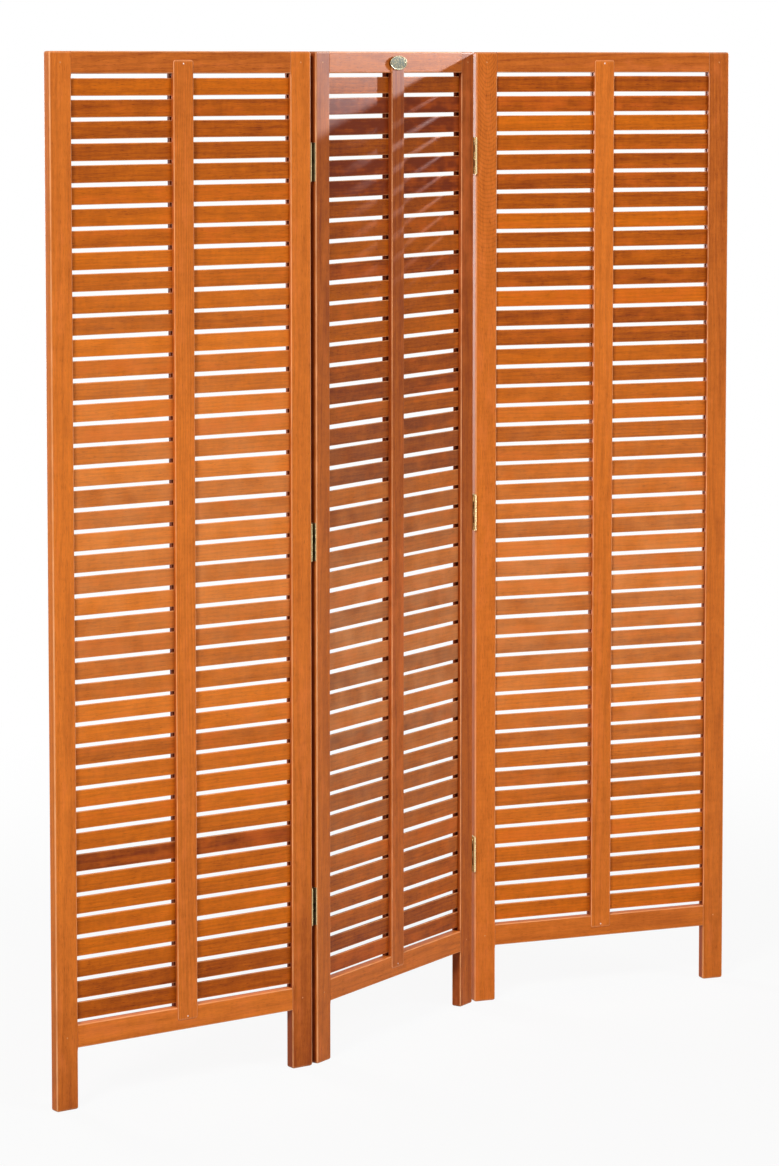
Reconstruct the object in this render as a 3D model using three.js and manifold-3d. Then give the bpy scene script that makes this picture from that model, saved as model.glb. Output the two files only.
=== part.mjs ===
// A folding screen: three slatted hardwood panels, joined edge to edge by brass butt hinges.
// Millimetres, +Z up. Every panel is drawn in a frame of its own, with X along the panel from
// its middle, Y through its thickness (the front is at -Y) and Z up from the floor.

import * as THREE from 'three';
import { mergeVertices } from 'three/addons/utils/BufferGeometryUtils.js';
import Module from 'manifold-3d';

const wasm = await Module();
wasm.setup();

// The screen as it stands
const panelHeight = 1700;
const panelWidth = 496;
const panelSpacing = 4; // between the edges of two panels in line
const middleTurn = 19.1; // degrees, the middle panel against the screen's long axis
const leftFold = 21.8; // degrees, the left panel folded back from the middle one
const rightFold = 35.4; // degrees, the right panel folded forward from the middle one
const fitGap = 0.3; // between pieces that fit together

// Frames
const frameThickness = 18;
const stileWidth = 40;
const topRailHeight = 36;
const bottomRailHeight = 38;
const legLength = 100;
const arrisRadius = 2.5; // long edges
const cornerRadius = 3.5; // corners of a stile seen from the front
const tenonLength = 30;
const tenonThickness = 6;
const tenonInset = 6; // from a rail's upper and lower edges
const pegDiameter = 3;
const pegFromShoulder = 20;

// Slats
const slatCount = 44;
const slatHeight = 28;
const slatThickness = 5;
const slatChamfer = 1.2;
const grooveDepth = 8; // in the stiles, for the ends of the slats

// Centre bars, one on each face of the slats
const barWidth = 38;
const barProud = 1.5; // beyond the frame's face
const barTopMargin = 14; // from the top rail's upper edge
const barBottomMargin = 16; // from the bottom rail's lower edge
const barArris = 1.5;
const barCorner = 4;
const barLetIn = 0.2; // the back bar's seat in the slats
const bradShankDiameter = 1.2;
const bradHeadDiameter = 2.4;
const bradHeadDepth = 0.6;
const bradInset = 6; // from the end of the bar

// Hinges
const hingeDrops = { top: 150, middle: 782, bottom: 1398 }; // from the panel's top to the leaf's
const leafHeight = 64;
const leafThickness = 1.5;
const leafMargin = 1; // from the far face of the stile
const knuckleRadius = 2.5;
const knuckleClearance = 0.6; // between a knuckle and the face of the stile
const knuckleCount = 5;
const hingePinDiameter = 2.2;
const pinHeadDiameter = 4;
const pinHeadHeight = 0.9;
const screwSpacing = 22;
const countersinkDiameter = 5.2;
const screwHoleDiameter = 3;

// Name plate, bare
const plateWidth = 53;
const plateHeight = 24.5;
const plateThickness = 0.7;
const plateDrop = 19; // from the panel's top to the plate's middle
const plateRimWidth = 1.8;
const plateRimHeight = 0.4;
const plateScallops = 20;
const plateScallopDepth = 0.5;
const platePinInset = 4.2;
const platePinDiameter = 1.2;
const platePinHeadDiameter = 2.6;
const platePinHeadHeight = 0.7;
const platePinDepth = 6; // into the rail

// Places that follow from those sizes
const openingWidth = panelWidth - 2 * stileWidth;
const bottomRailTop = legLength + bottomRailHeight;
const topRailBottom = panelHeight - topRailHeight;
const slatGap = (topRailBottom - bottomRailTop - slatCount * slatHeight) / (slatCount + 1);
const slatLength = openingWidth + 2 * (grooveDepth - fitGap);
const barBottom = legLength + barBottomMargin;
const barTop = panelHeight - barTopMargin;
const barLength = barTop - barBottom;
const barMiddle = (barTop + barBottom) / 2;
const barStack = frameThickness + 2 * barProud;
const frontBarBack = slatThickness / 2;
const backBarFront = slatThickness / 2 - barLetIn;
const hingeX = (panelWidth + panelSpacing) / 2;
const hingeY = frameThickness / 2 + knuckleClearance + knuckleRadius;
const leafSeat = panelSpacing / 2 - fitGap; // from the hinge axis to a leaf's back
const plateBack = barStack / 2 + fitGap;
const platePinX = plateWidth / 2 - platePinInset;
const plateZ = panelHeight - plateDrop;
const past = 1; // how far a cutter runs past the wood
const pegFacets = 8;
const hingeFacets = 12;

const xAxis = new THREE.Vector3(1, 0, 0);
const yAxis = new THREE.Vector3(0, 1, 0);
const zAxis = new THREE.Vector3(0, 0, 1);
const alongX = new THREE.Matrix4().makeBasis(yAxis, zAxis, xAxis); // outline drawn in Y and Z
const alongY = new THREE.Matrix4().makeBasis(xAxis, zAxis, yAxis.clone().negate()); // in X and Z
const alongZ = new THREE.Matrix4(); // in X and Y

const stileWood = { color: 0xc46c30, roughness: 0.5, metalness: 0 };
const railWood = { color: 0xc26526, roughness: 0.5, metalness: 0 };
const barWood = { color: 0xc4672a, roughness: 0.5, metalness: 0 };
const slatWood = { color: 0xb95f20, roughness: 0.5, metalness: 0 };
const pegWood = { color: 0xd58a52, roughness: 0.6, metalness: 0 };
const brass = { color: 0xd9c78c, roughness: 0.3, metalness: 1 };
const agedBrass = { color: 0x96915f, roughness: 0.4, metalness: 1 };
const steel = { color: 0xc9c4b8, roughness: 0.3, metalness: 1 };

// ---- solids ----

function solid(geometry) {
  const bare = geometry.clone();
  bare.deleteAttribute('normal');
  bare.deleteAttribute('uv');
  const merged = mergeVertices(bare);
  return new wasm.Manifold(
    new wasm.Mesh({
      numProp: 3,
      vertProperties: merged.attributes.position.array,
      triVerts: new Uint32Array(merged.index.array),
    }),
  );
}

function toGeometry(body) {
  const mesh = body.getMesh();
  const geometry = new THREE.BufferGeometry();
  geometry.setAttribute('position', new THREE.BufferAttribute(mesh.vertProperties, 3));
  geometry.setIndex(new THREE.BufferAttribute(mesh.triVerts, 1));
  geometry.computeVertexNormals();
  return geometry;
}

// An outline carried along one axis, centred on the origin.
function prism(outline, length, direction) {
  const geometry = new THREE.ExtrudeGeometry(outline, {
    depth: length,
    bevelEnabled: false,
    curveSegments: 1, // two facets to a round corner
  });
  geometry.translate(0, 0, -length / 2);
  geometry.applyMatrix4(direction);
  return solid(geometry);
}

// A block between two places on each axis, given in either order.
function block([xa, xb], [ya, yb], [za, zb]) {
  const size = [Math.abs(xb - xa), Math.abs(yb - ya), Math.abs(zb - za)];
  const box = new THREE.BoxGeometry(...size);
  box.translate((xa + xb) / 2, (ya + yb) / 2, (za + zb) / 2);
  return solid(box);
}

// A round bar or a cone along Y, from its front radius to its back radius.
function peg(frontRadius, backRadius, yFront, yBack, x, z) {
  const length = yBack - yFront;
  const geometry = new THREE.CylinderGeometry(backRadius, frontRadius, length, pegFacets);
  geometry.translate(x, (yFront + yBack) / 2, z);
  return solid(geometry);
}

function roundedRect(width, height, radius) {
  const x = width / 2 - radius;
  const y = height / 2 - radius;
  const quarter = Math.PI / 2;
  const shape = new THREE.Shape();
  shape.absarc(x, y, radius, 0, quarter);
  shape.absarc(-x, y, radius, quarter, 2 * quarter);
  shape.absarc(-x, -y, radius, 2 * quarter, 3 * quarter);
  shape.absarc(x, -y, radius, 3 * quarter, 4 * quarter);
  return shape;
}

function chamferedRect(width, height, chamfer) {
  const x = width / 2;
  const y = height / 2;
  return new THREE.Shape([
    new THREE.Vector2(x, y - chamfer),
    new THREE.Vector2(x - chamfer, y),
    new THREE.Vector2(chamfer - x, y),
    new THREE.Vector2(-x, y - chamfer),
    new THREE.Vector2(-x, chamfer - y),
    new THREE.Vector2(chamfer - x, -y),
    new THREE.Vector2(x - chamfer, -y),
    new THREE.Vector2(x, chamfer - y),
  ]);
}

// A board rounded on its long edges, its end edges and its corners.
function easedBoard(width, thickness, height, arris, corner) {
  return prism(roundedRect(width, thickness, arris), height, alongZ)
    .intersect(prism(roundedRect(width, height, corner), thickness, alongY))
    .intersect(prism(roundedRect(thickness, height, arris), width, alongX));
}

// ---- wooden pieces ----

const railSpans = {
  top: [topRailBottom, panelHeight],
  bottom: [legLength, bottomRailTop],
};

const pegX = openingWidth / 2 + pegFromShoulder;

function pegHole(side, [low, high]) {
  const radius = pegDiameter / 2 + fitGap;
  const reach = frameThickness / 2 + past;
  return peg(radius, radius, -reach, reach, side * pegX, (low + high) / 2);
}

// The slot that takes a rail's tenon, in the inner edge of a stile.
function mortise(side, [low, high]) {
  const shoulder = openingWidth / 2;
  const halfWidth = tenonThickness / 2 + fitGap;
  return block(
    [side * (shoulder - past), side * (shoulder + tenonLength)],
    [-halfWidth, halfWidth],
    [low + tenonInset - fitGap, high - tenonInset + fitGap],
  );
}

// The groove that takes the ends of the slats, between the two rails.
function slatGroove(side) {
  const shoulder = openingWidth / 2;
  const halfWidth = slatThickness / 2 + fitGap;
  return block(
    [side * (shoulder - past), side * (shoulder + grooveDepth)],
    [-halfWidth, halfWidth],
    [bottomRailTop, topRailBottom],
  );
}

function makeStile(side) {
  let stile = easedBoard(stileWidth, frameThickness, panelHeight, arrisRadius, cornerRadius);
  stile = stile.translate([(side * (panelWidth - stileWidth)) / 2, 0, panelHeight / 2]);
  stile = stile.subtract(slatGroove(side));
  for (const span of Object.values(railSpans)) {
    stile = stile.subtract(mortise(side, span)).subtract(pegHole(side, span));
  }
  return toGeometry(stile);
}

// The pocket in a rail's face that a centre bar lies in: the bar's outline, opened by the gap.
function barHousing(face, floor) {
  const outline = roundedRect(barWidth + 2 * fitGap, barLength + 2 * fitGap, barCorner + fitGap);
  const depth = frameThickness / 2 + past - floor;
  return prism(outline, depth, alongY).translate([0, face * (floor + depth / 2), barMiddle]);
}

function bradZ(end) {
  return end === 'top' ? barTop - bradInset : barBottom + bradInset;
}

function bradHole(end) {
  const radius = bradShankDiameter / 2 + fitGap;
  return peg(radius, radius, -barStack / 2 - past, slatThickness / 2 + past, 0, bradZ(end));
}

function makeRail(end) {
  const [low, high] = railSpans[end];
  const middle = (low + high) / 2;
  const length = openingWidth - 2 * fitGap;
  const section = roundedRect(frameThickness, high - low, arrisRadius);
  const reach = openingWidth / 2 + tenonLength - fitGap;
  const tenons = block(
    [-reach, reach],
    [-tenonThickness / 2, tenonThickness / 2],
    [low + tenonInset, high - tenonInset],
  );
  return prism(section, length, alongX)
    .translate([0, 0, middle])
    .add(tenons)
    .subtract(barHousing(-1, frontBarBack))
    .subtract(barHousing(1, backBarFront - fitGap))
    .subtract(pegHole(-1, [low, high]))
    .subtract(pegHole(1, [low, high]))
    .subtract(bradHole(end));
}

// A centre bar on one face of the slats (-1 in front, 1 behind), from `inner` outwards.
function makeBar(face, inner) {
  const keep = block(
    [-barWidth, barWidth],
    [face * inner, face * barStack],
    [barBottom - past, barTop + past],
  );
  return easedBoard(barWidth, barStack, barLength, barArris, barCorner)
    .translate([0, 0, barMiddle])
    .intersect(keep);
}

function makeFrontBar() {
  let bar = makeBar(-1, frontBarBack + fitGap);
  for (const end of ['top', 'bottom']) {
    const headRadius = bradHeadDiameter / 2 + fitGap;
    const headFloor = bradHeadDepth + fitGap - barStack / 2;
    const headHole = peg(headRadius, headRadius, -barStack / 2 - past, headFloor, 0, bradZ(end));
    bar = bar.subtract(bradHole(end)).subtract(headHole);
  }
  return toGeometry(bar);
}

// All the slats of a panel, with the back bar that they are fixed to.
function makeSlats() {
  const slat = prism(chamferedRect(slatThickness, slatHeight, slatChamfer), slatLength, alongX);
  let ladder = makeBar(1, backBarFront);
  for (let i = 0; i < slatCount; i += 1) {
    const z = bottomRailTop + slatGap + slatHeight / 2 + i * (slatHeight + slatGap);
    ladder = ladder.add(slat.translate([0, 0, z]));
  }
  return toGeometry(ladder);
}

function makePeg(side, end) {
  const [low, high] = railSpans[end];
  const radius = pegDiameter / 2;
  const reach = frameThickness / 2;
  return toGeometry(peg(radius, radius, -reach, reach, side * pegX, (low + high) / 2));
}

// ---- metal pieces ----

function makeBrad(end) {
  const front = -barStack / 2;
  const neck = front + bradHeadDepth;
  const point = backBarFront - 2 * fitGap;
  const shankRadius = bradShankDiameter / 2;
  const headRadius = bradHeadDiameter / 2;
  const head = peg(headRadius, headRadius, front, neck, 0, bradZ(end));
  const shank = peg(shankRadius, shankRadius, front + bradHeadDepth / 2, point, 0, bradZ(end));
  return toGeometry(head.add(shank));
}

// A round bar up the hinge's own axis.
function pillar(radius, low, high) {
  const geometry = new THREE.CylinderGeometry(radius, radius, high - low, hingeFacets);
  geometry.rotateX(Math.PI / 2);
  geometry.translate(0, 0, (low + high) / 2);
  return solid(geometry);
}

// One leaf of a hinge, about the hinge's axis and middle. The leaf lies on the panel's edge, on
// the `side` of the axis, and runs in from the face that the axis stands at (1 back, -1 front).
function makeLeaf(side, face) {
  const pitch = leafHeight / knuckleCount;
  const half = leafHeight / 2;
  const depth = hingeY + frameThickness / 2 - leafMargin;
  const near = leafSeat - leafThickness;
  let leaf = block([side * near, side * leafSeat], [0, -face * depth], [-half, half]);
  const rolled = side > 0 ? 0 : 1; // which of the alternate knuckles this leaf carries
  for (let i = rolled; i < knuckleCount; i += 2) {
    leaf = leaf.add(pillar(knuckleRadius, i * pitch - half, (i + 1) * pitch - half));
  }
  const clear = knuckleRadius + fitGap;
  for (let i = 1 - rolled; i < knuckleCount; i += 2) {
    const low = i === 0 ? -half - past : i * pitch - half - fitGap / 2;
    const high = i === knuckleCount - 1 ? half + past : (i + 1) * pitch - half + fitGap / 2;
    leaf = leaf.subtract(block([-clear, clear], [-clear, clear], [low, high]));
  }
  const boreRadius = (hingePinDiameter / 2 + fitGap) / Math.cos(Math.PI / hingeFacets);
  leaf = leaf.subtract(pillar(boreRadius, -half - past, half + past));
  const holeY = -face * (hingeY - leafMargin / 2); // the middle of what lies on the stile
  for (const z of [-screwSpacing, 0, screwSpacing]) {
    leaf = leaf.subtract(countersink(side, holeY, z));
  }
  return toGeometry(leaf);
}

// A screw's hole through a leaf, wide on the side that faces the gap.
function countersink(side, y, z) {
  const run = 0.05; // past each face, so that the cut is clean
  const near = leafSeat - leafThickness - run;
  const far = leafSeat + run;
  const geometry = new THREE.CylinderGeometry(
    screwHoleDiameter / 2,
    countersinkDiameter / 2,
    far - near,
    pegFacets,
  );
  geometry.rotateZ((-side * Math.PI) / 2);
  geometry.translate((side * (near + far)) / 2, y, z);
  return solid(geometry);
}

// A hinge pin, its two heads spread over the end knuckles.
function makeHingePin() {
  const radius = hingePinDiameter / 2;
  const headRadius = pinHeadDiameter / 2;
  const neck = leafHeight / 2 + fitGap;
  const end = neck + pinHeadHeight;
  const crown = headRadius * 0.6;
  const profile = [
    new THREE.Vector2(0, -end),
    new THREE.Vector2(crown, -end),
    new THREE.Vector2(headRadius, -neck),
    new THREE.Vector2(radius, -neck),
    new THREE.Vector2(radius, neck),
    new THREE.Vector2(headRadius, neck),
    new THREE.Vector2(crown, end),
    new THREE.Vector2(0, end),
  ];
  const geometry = new THREE.LatheGeometry(profile, hingeFacets);
  geometry.rotateX(Math.PI / 2);
  return toGeometry(solid(geometry));
}

// An oval whose edge runs in and out once for each scallop.
function scallopedOval(width, height, depth) {
  const steps = plateScallops * 4;
  const points = [];
  for (let i = 0; i < steps; i += 1) {
    const angle = (i / steps) * 2 * Math.PI;
    const dip = (depth * (1 - Math.cos(plateScallops * angle))) / 2;
    const x = (width / 2 - dip) * Math.cos(angle);
    const y = (height / 2 - dip) * Math.sin(angle);
    points.push(new THREE.Vector2(x, y));
  }
  return new THREE.Shape(points);
}

function makePlate() {
  const rimDepth = plateThickness + plateRimHeight;
  const edge = scallopedOval(plateWidth, plateHeight, plateScallopDepth);
  const inset = 2 * plateRimWidth;
  const field = scallopedOval(plateWidth - inset, plateHeight - inset, 0);
  const recess = prism(field, plateRimHeight + past, alongY);
  const recessMiddle = -plateBack - plateThickness - (plateRimHeight + past) / 2;
  let plate = prism(edge, rimDepth, alongY)
    .translate([0, -plateBack - rimDepth / 2, plateZ])
    .subtract(recess.translate([0, recessMiddle, plateZ]));
  for (const side of [-1, 1]) {
    const radius = platePinDiameter / 2 + fitGap;
    const front = -plateBack - rimDepth - past;
    plate = plate.subtract(peg(radius, radius, front, past - plateBack, side * platePinX, plateZ));
  }
  return toGeometry(plate);
}

function makePlatePin(side) {
  const x = side * platePinX;
  const under = -plateBack - plateThickness - fitGap;
  const tip = platePinDepth - frameThickness / 2;
  const headRadius = platePinHeadDiameter / 2;
  const shankRadius = platePinDiameter / 2;
  const head = peg(headRadius * 0.6, headRadius, under - platePinHeadHeight, under, x, plateZ);
  const shank = peg(shankRadius, shankRadius, under - platePinHeadHeight / 2, tip, x, plateZ);
  return toGeometry(head.add(shank));
}

function platePinHole(side) {
  const radius = platePinDiameter / 2 + fitGap;
  const front = -frameThickness / 2 - past;
  const bottom = platePinDepth + fitGap - frameThickness / 2;
  return peg(radius, radius, front, bottom, side * platePinX, plateZ);
}

// ---- the screen ----

function part(name, geometry, finish) {
  const mesh = new THREE.Mesh(geometry, new THREE.MeshStandardMaterial(finish));
  mesh.name = name;
  return mesh;
}

const sides = { left: -1, right: 1 };
const ends = ['top', 'bottom'];
const stiles = { left: makeStile(-1), right: makeStile(1) };
const plainRails = { top: makeRail('top'), bottom: makeRail('bottom') };
const rails = { top: toGeometry(plainRails.top), bottom: toGeometry(plainRails.bottom) };
const platedRail = toGeometry(
  plainRails.top.subtract(platePinHole(-1)).subtract(platePinHole(1)),
);
const frontBar = makeFrontBar();
const slats = makeSlats();

function makePanel(name, topRail) {
  const panel = new THREE.Group();
  for (const [sideName, side] of Object.entries(sides)) {
    panel.add(part(`${name}_${sideName}_stile`, stiles[sideName], stileWood));
    for (const end of ends) {
      panel.add(part(`${name}_${end}_${sideName}_peg`, makePeg(side, end), pegWood));
    }
  }
  panel.add(part(`${name}_top_rail`, topRail, railWood));
  panel.add(part(`${name}_bottom_rail`, rails.bottom, railWood));
  for (const end of ends) {
    panel.add(part(`${name}_bar_${end}_brad`, makeBrad(end), steel));
  }
  panel.add(part(`${name}_front_bar`, frontBar, barWood));
  panel.add(part(`${name}_slats_and_back_bar`, slats, slatWood));
  return panel;
}

// The three hinges of one fold, half of each on the panel to the left of it and half on the
// panel to the right. `face` says which face of the panels the pins stand at.
function addHinges(fold, leftPanel, rightPanel, pinPanel, face) {
  for (const [level, drop] of Object.entries(hingeDrops)) {
    const z = panelHeight - drop - leafHeight / 2;
    const onLeft = part(`${fold}_${level}_hinge_left_leaf`, makeLeaf(-1, face), brass);
    onLeft.position.set(hingeX, face * hingeY, z);
    leftPanel.add(onLeft);
    const onRight = part(`${fold}_${level}_hinge_right_leaf`, makeLeaf(1, face), brass);
    onRight.position.set(-hingeX, face * hingeY, z);
    rightPanel.add(onRight);
    const pin = part(`${fold}_${level}_hinge_pin`, makeHingePin(), brass);
    pin.position.set(pinPanel === leftPanel ? hingeX : -hingeX, face * hingeY, z);
    pinPanel.add(pin);
  }
}

// A panel turned about a hinge axis at `own` in its frame, which lies at `shared` in the parent's.
function hung(panel, own, shared, degrees) {
  const knuckles = new THREE.Group();
  knuckles.position.set(shared[0], shared[1], 0);
  knuckles.rotation.z = THREE.MathUtils.degToRad(degrees);
  panel.position.set(-own[0], -own[1], 0);
  knuckles.add(panel);
  return knuckles;
}

const leftPanel = makePanel('left_panel', rails.top);
const middlePanel = makePanel('middle_panel', platedRail);
const rightPanel = makePanel('right_panel', rails.top);
addHinges('left_fold', leftPanel, middlePanel, middlePanel, 1);
addHinges('right_fold', middlePanel, rightPanel, middlePanel, -1);

middlePanel.add(part('name_plate', makePlate(), agedBrass));
for (const [sideName, side] of Object.entries(sides)) {
  middlePanel.add(part(`name_plate_${sideName}_pin`, makePlatePin(side), brass));
}

middlePanel.add(hung(leftPanel, [hingeX, hingeY], [-hingeX, hingeY], -leftFold));
middlePanel.add(hung(rightPanel, [-hingeX, -hingeY], [hingeX, -hingeY], -rightFold));
middlePanel.rotation.z = THREE.MathUtils.degToRad(middleTurn);

const screen = new THREE.Group();
screen.add(middlePanel);
const extent = new THREE.Box3().setFromObject(screen, true);
const centre = extent.getCenter(new THREE.Vector3());
screen.position.set(-centre.x, -centre.y, 0);

export default screen;
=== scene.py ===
import math

import bmesh
import bpy
import numpy as np
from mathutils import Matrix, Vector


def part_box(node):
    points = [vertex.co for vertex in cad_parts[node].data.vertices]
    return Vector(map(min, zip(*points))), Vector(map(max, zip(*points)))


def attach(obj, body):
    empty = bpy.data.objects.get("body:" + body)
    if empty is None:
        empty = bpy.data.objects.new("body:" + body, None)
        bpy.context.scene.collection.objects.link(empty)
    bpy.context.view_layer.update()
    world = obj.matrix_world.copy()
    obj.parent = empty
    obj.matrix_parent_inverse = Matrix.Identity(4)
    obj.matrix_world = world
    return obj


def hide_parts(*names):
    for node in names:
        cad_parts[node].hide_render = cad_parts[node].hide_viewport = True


# A folding screen of three slatted hardwood panels with brass butt hinges, dressed over its
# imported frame. Metres. A panel is drawn in a frame of its own: X along it from its middle,
# Y through it (the front is at -Y) and Z up, and then stood where the frame has it.

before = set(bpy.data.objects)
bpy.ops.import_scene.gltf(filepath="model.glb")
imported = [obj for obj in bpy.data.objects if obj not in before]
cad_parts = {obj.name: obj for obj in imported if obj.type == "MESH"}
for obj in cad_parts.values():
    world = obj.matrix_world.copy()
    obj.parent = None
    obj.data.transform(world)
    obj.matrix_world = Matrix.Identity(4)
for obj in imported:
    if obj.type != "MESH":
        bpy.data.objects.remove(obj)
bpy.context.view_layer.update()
mm = 0.001
panels = ("left_panel", "middle_panel", "right_panel")
saw = np.random.default_rng(7)  # every board's own cut comes from this one seeded draw
print("frame loaded,", len(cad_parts), "nodes")


# Places

def nodeMiddle(node):
    low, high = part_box(node)
    return np.array((low + high) / 2)


# A panel stands midway between its two stiles and runs from one to the other.
def panelPlace(panel):
    left = nodeMiddle(panel + "_left_stile")
    right = nodeMiddle(panel + "_right_stile")
    heading = math.atan2(right[1] - left[1], right[0] - left[0])
    return (left[0] + right[0]) / 2, (left[1] + right[1]) / 2, heading


places = {panel: panelPlace(panel) for panel in panels}


# Points turned by a heading about Z, then moved: x' = x cos - y sin, y' = x sin + y cos.
def stand(points, x, y, heading, z=0.0):
    cosine, sine = math.cos(heading), math.sin(heading)
    east = x + points[..., 0] * cosine - points[..., 1] * sine
    north = y + points[..., 0] * sine + points[..., 1] * cosine
    return np.stack([east, north, z + points[..., 2]], axis=-1)


def standPanel(points, panel):
    return stand(points, *places[panel])


# Shader nodes written as expressions

class Wire:
    # one output socket: + - * / ** on it add Math nodes
    def __init__(self, finish, socket):
        self.finish = finish
        self.socket = socket

    def __add__(self, other):
        return self.finish.maths("ADD", self, other)

    def __radd__(self, other):
        return self.finish.maths("ADD", other, self)

    def __sub__(self, other):
        return self.finish.maths("SUBTRACT", self, other)

    def __rsub__(self, other):
        return self.finish.maths("SUBTRACT", other, self)

    def __mul__(self, other):
        return self.finish.maths("MULTIPLY", self, other)

    def __rmul__(self, other):
        return self.finish.maths("MULTIPLY", other, self)

    def __truediv__(self, other):
        return self.finish.maths("DIVIDE", self, other)

    def __pow__(self, other):
        return self.finish.maths("POWER", self, other)


class Finish:
    # the node tree of a material or of the world
    def __init__(self, owner):
        owner.use_nodes = True
        self.owner = owner
        self.tree = owner.node_tree
        self.tree.nodes.clear()

    # any node: its settings first, then the values or wires of its sockets
    def add(self, kind, settings=None, sockets=None, output=0):
        node = self.tree.nodes.new("ShaderNode" + kind)
        for name, value in (settings or {}).items():
            setattr(node, name, value)
        for key, value in (sockets or {}).items():
            socket = self.find(node.inputs, key)
            if isinstance(value, Wire):
                self.tree.links.new(value.socket, socket)
            else:
                socket.default_value = value
        if not node.outputs:
            return None
        return Wire(self, self.find(node.outputs, output))

    def find(self, sockets, key):
        if isinstance(key, int):
            return sockets[key]
        return next(s for s in sockets if s.name == key and s.enabled)

    def maths(self, operation, first, second=0.0):
        return self.add("Math", {"operation": operation}, {0: first, 1: second})

    def attribute(self, name, output="Fac"):
        return self.add("Attribute", {"attribute_name": name}, None, output)

    def stretched(self, vector, scale):
        settings = {"operation": "MULTIPLY"}
        return self.add("VectorMath", settings, {0: vector, 1: scale}, "Vector")

    def noise(self, vector, scale, detail=2.0, roughness=0.5):
        sockets = {"Vector": self.stretched(vector, scale), "Scale": 1.0}
        sockets.update({"Detail": detail, "Roughness": roughness})
        return self.add("TexNoise", None, sockets, "Fac")

    # a value that rises from 0 to 1 between two levels of another
    def between(self, value, low, high):
        settings = {"interpolation_type": "SMOOTHSTEP"}
        sockets = {"Value": value, "From Min": low, "From Max": high}
        return self.add("MapRange", settings, sockets, "Result")

    def colour(self, factor, first, second):
        settings = {"data_type": "RGBA", "blend_type": "MIX"}
        sockets = {"Factor": factor, "A": first, "B": second}
        return self.add("Mix", settings, sockets, "Result")

    def surface(self, shader):
        self.add("OutputMaterial", None, {"Surface": shader})
        return self.owner


def newFinish(name):
    return Finish(bpy.data.materials.new(name))


# Oiled hardwood. Fibres follow the grainPlace attribute, whose X runs along the board. Rings
# follow ringPlace: X and Y are the distances from the heart of the tree, so that rings are
# circles about it, and Z is how strongly they show.
def woodFinish(name, look):
    wood = newFinish(name)
    grain = wood.attribute("grainPlace", "Vector")
    # boardTone is each board's own tone with painted shade in it: darker points where parts meet,
    # and tones set darker by height and by panel
    tone = wood.attribute("boardTone")
    wearAndPaintedLight = wood.attribute("arrisWearAndPaintedLight")
    heart = wood.attribute("ringPlace", "Vector")
    parts = wood.add("SeparateXYZ", None, {0: heart}, "X").socket.node.outputs
    aside, deep, shown = (Wire(wood, parts[axis]) for axis in ("X", "Y", "Z"))
    sway = wood.noise(grain, (3.5, 22.0, 22.0), 3.0, 0.5) - 0.5
    radius = (aside ** 2.0 + deep ** 2.0) ** 0.5 + sway * look["ringSway"]
    turns = radius / look["ringWidth"]
    ring = wood.maths("PINGPONG", turns, 0.5) * 2.0
    late = wood.between(ring, 0.35, 1.0) * shown
    band = wood.noise(grain, (2.2, 55.0, 55.0), 2.0, 0.5) - 0.5
    streak = wood.noise(grain, (9.0, 260.0, 260.0), 4.0, 0.6) - 0.5
    fibre = wood.noise(grain, (38.0, 1100.0, 1100.0), 3.0, 0.6) - 0.5
    mottle = wood.noise(grain, (26.0, 48.0, 48.0), 2.0, 0.55) - 0.5
    curl = wood.noise(grain, (150.0, 60.0, 60.0), 1.0, 0.5) - 0.5
    poreField = wood.noise(grain, (95.0, 1500.0, 1500.0), 1.0, 0.5)
    pores = wood.between(poreField, 0.60, 0.74)
    level = (tone + band * look["band"] + streak * look["streak"] + fibre * look["fibre"]
             + mottle * look["mottle"] + curl * look["curl"]
             - late * look["late"] - pores * look["pores"])
    level = wood.add("Clamp", None, {0: level})
    body = wood.colour(level, look["dark"], look["light"])
    redder = wood.noise(grain, (1.1, 3.0, 3.0), 1.0, 0.5) - 0.5
    ruddy = wood.between(band + mottle + redder * 1.3, 0.0, 0.5) * look["ruddyShare"]
    body = wood.colour(ruddy, body, look["ruddy"])
    # the pale worn colour is partly wear on the arrises and ends and partly a painted highlight
    # there; on some slats it is a painted sheen all over
    wornAndPaintedLight = wearAndPaintedLight * (wood.noise(grain, (20.0, 20.0, 20.0), 2.0, 0.5)) * look["wearAndPaintedLight"]
    body = wood.colour(wornAndPaintedLight, body, look["wornAndPaintedLight"])
    height = fibre * 0.5 + streak * 0.35 - pores * 0.6 - late * 0.15
    bump = wood.add("Bump", None, {"Strength": 0.55, "Distance": look["relief"], "Height": height})
    sockets = {
        "Base Color": body,
        "Roughness": look["roughness"] + fibre * 0.16 + mottle * 0.10 + pores * 0.12,
        "Specular IOR Level": look["specular"],
        "Coat Weight": look["coat"] + mottle * 0.04,
        "Coat Roughness": 0.45,
        "Normal": bump,
    }
    return wood.surface(wood.add("BsdfPrincipled", None, sockets))


woodLooks = {
    "frame": {
        "dark": (0.240, 0.040, 0.003, 1.0), "light": (0.830, 0.222, 0.022, 1.0),
        "ruddy": (0.700, 0.165, 0.040, 1.0), "ruddyShare": 0.35,
        "wornAndPaintedLight": (0.980, 0.500, 0.240, 1.0), "wearAndPaintedLight": 1.0,
        "ringWidth": 0.0046, "ringSway": 0.010, "late": 0.12, "band": 0.22, "streak": 0.34,
        "fibre": 0.55, "mottle": 0.26, "curl": 0.14, "pores": 0.34, "relief": 0.00014,
        "roughness": 0.50, "specular": 0.16, "coat": 0.02,
    },
    "slat": {
        "dark": (0.170, 0.022, 0.002, 1.0), "light": (0.840, 0.205, 0.004, 1.0),
        "ruddy": (0.620, 0.110, 0.012, 1.0), "ruddyShare": 0.40,
        "wornAndPaintedLight": (0.980, 0.480, 0.200, 1.0), "wearAndPaintedLight": 1.2,
        "ringWidth": 0.0060, "ringSway": 0.016, "late": 0.09, "band": 0.30, "streak": 0.34,
        "fibre": 0.52, "mottle": 0.34, "curl": 0.16, "pores": 0.32, "relief": 0.00014,
        "roughness": 0.48, "specular": 0.12, "coat": 0.02,
    },
}


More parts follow.
